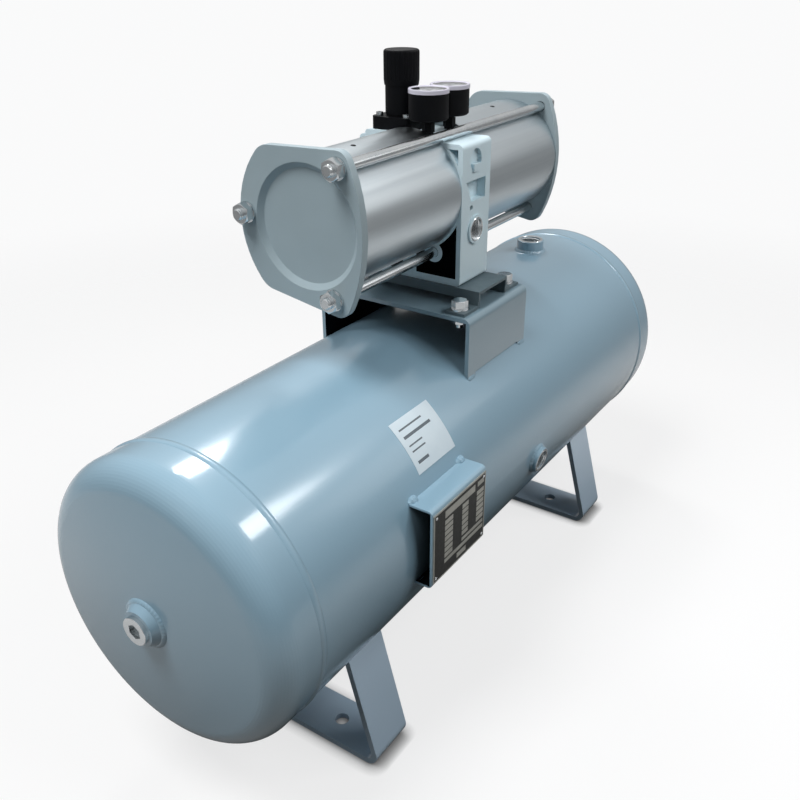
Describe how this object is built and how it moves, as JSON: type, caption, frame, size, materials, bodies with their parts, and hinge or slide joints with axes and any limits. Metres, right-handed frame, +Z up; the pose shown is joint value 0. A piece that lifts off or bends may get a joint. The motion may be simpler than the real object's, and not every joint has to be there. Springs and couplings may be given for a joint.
{
  "type": "air pressure booster",
  "caption": "Twin-cylinder pneumatic pressure booster with governor knob and gauges, bolted on a saddle over a horizontal welded air tank standing on bent flat-bar legs.",
  "frame": {"origin": "floor level, midway between the four foot holes, under the middle of the tank", "axes": "+X along the tank away from the viewer of the picture, -Y towards the nameplate side, +Z up"},
  "size_m": [0.8186, 0.2825, 0.605],
  "materials": {
    "tank_paint": "gloss enamel",
    "channel_paint": "satin enamel",
    "plate_paint": "satin paint on casting",
    "housing_paint": "satin paint on casting",
    "alloy": "drawn and anodised",
    "plate_alloy": "etched sheet",
    "steel": "zinc plated",
    "rubber": "matt",
    "brass": "turned",
    "black_resin": "fine matt",
    "pointer_black": "matt",
    "bezel": "satin",
    "dial_white": "matt",
    "label_white": "satin film",
    "lens": "clear"
  },
  "bodies": {
    "base": {"tank_shell": "tank_paint", "front_head": "tank_paint", "rear_head": "tank_paint", "end_bosses": "tank_paint", "end_plugs": "steel", "top_boss": "tank_paint", "side_boss": "tank_paint", "drain_boss": "tank_paint", "drain_plug": "steel", "front_leg": "tank_paint", "rear_leg": "tank_paint", "saddle_bracket": "tank_paint", "plate_holder": "tank_paint", "nameplate": "plate_alloy", "label": "label_white", "mounting_channel": "channel_paint", "channel_bolts": "steel", "channel_washers": "steel", "channel_nuts": "steel", "housing_screws": "steel", "centre_housing": "housing_paint", "left_tube": "alloy", "right_tube": "alloy", "left_end_plate": "plate_paint", "right_end_plate": "plate_paint", "tie_rods": "steel", "tie_rod_nuts": "steel", "tie_rod_washers": "steel", "tube_seals": "rubber", "rod_bushes": "brass", "rod_seals": "rubber", "valve_sleeve": "alloy", "valve_caps": "alloy", "check_retainers": "steel", "governor_base": "black_resin", "governor_screws": "steel", "diaphragm": "rubber", "spring_plate": "steel", "bonnet": "black_resin", "regulating_spring": "steel", "gauge_cases": "black_resin", "gauge_bezels": "bezel", "gauge_dials": "dial_white", "gauge_lenses": "lens"},
    "pistons": {"left_piston": "alloy", "right_piston": "alloy", "piston_rod": "steel", "piston_nuts": "steel", "piston_seals": "rubber"},
    "spool": {"spool": "steel"},
    "inlet_check_left": {"inlet_check_left": "brass"},
    "inlet_check_right": {"inlet_check_right": "brass"},
    "outlet_check_left": {"outlet_check_left": "brass"},
    "outlet_check_right": {"outlet_check_right": "brass"},
    "screw": {"adjusting_screw": "steel"},
    "knob": {"knob": "black_resin"},
    "seat": {"spring_seat": "brass"},
    "valve": {"governor_valve": "brass"},
    "left_pointer": {"left_pointer": "pointer_black"},
    "right_pointer": {"right_pointer": "pointer_black"}
  },
  "joints": [
    {"name": "piston_slide", "type": "slide", "parent": "base", "child": "pistons", "axis": [1, 0, 0], "range_m": [-0.05, 0.05]},
    {"name": "spool_slide", "type": "slide", "parent": "base", "child": "spool", "axis": [1, 0, 0], "range_m": [-0.003, 0.003]},
    {"name": "inlet_left_lift", "type": "slide", "parent": "base", "child": "inlet_check_left", "axis": [-1, 0, 0], "range_m": [0, 0.002]},
    {"name": "inlet_right_lift", "type": "slide", "parent": "base", "child": "inlet_check_right", "axis": [1, 0, 0], "range_m": [0, 0.002]},
    {"name": "outlet_left_lift", "type": "slide", "parent": "base", "child": "outlet_check_left", "axis": [1, 0, 0], "range_m": [0, 0.002]},
    {"name": "outlet_right_lift", "type": "slide", "parent": "base", "child": "outlet_check_right", "axis": [-1, 0, 0], "range_m": [0, 0.002]},
    {"name": "knob_turn", "type": "hinge", "parent": "base", "child": "screw", "pos_m": [0.01, 0.027, 0.59], "axis": [0, 0, 1], "range_deg": [-721, 361]},
    {"name": "knob_lift", "type": "slide", "parent": "screw", "child": "knob", "axis": [0, 0, 1], "range_m": [0, 0.003]},
    {"name": "seat_slide", "type": "slide", "parent": "base", "child": "seat", "axis": [0, 0, 1], "range_m": [-0.003, 0.0015], "deforming": ["regulating_spring"]},
    {"name": "valve_lift", "type": "slide", "parent": "base", "child": "valve", "axis": [0, 0, -1], "range_m": [0, 0.0015], "stiffness_N_per_m": 200, "springref_m": -0.002},
    {"name": "left_pointer_turn", "type": "hinge", "parent": "base", "child": "left_pointer", "pos_m": [-0.009, -0.016, 0.573], "axis": [0, 0, 1], "range_deg": [-270, 0]},
    {"name": "right_pointer_turn", "type": "hinge", "parent": "base", "child": "right_pointer", "pos_m": [0.029, -0.016, 0.573], "axis": [0, 0, 1], "range_deg": [-270, 0]}
  ],
  "couplings": [
    {"joint": "knob_turn", "follows": "seat_slide", "rad_per_m": 4188.8}
  ]
}
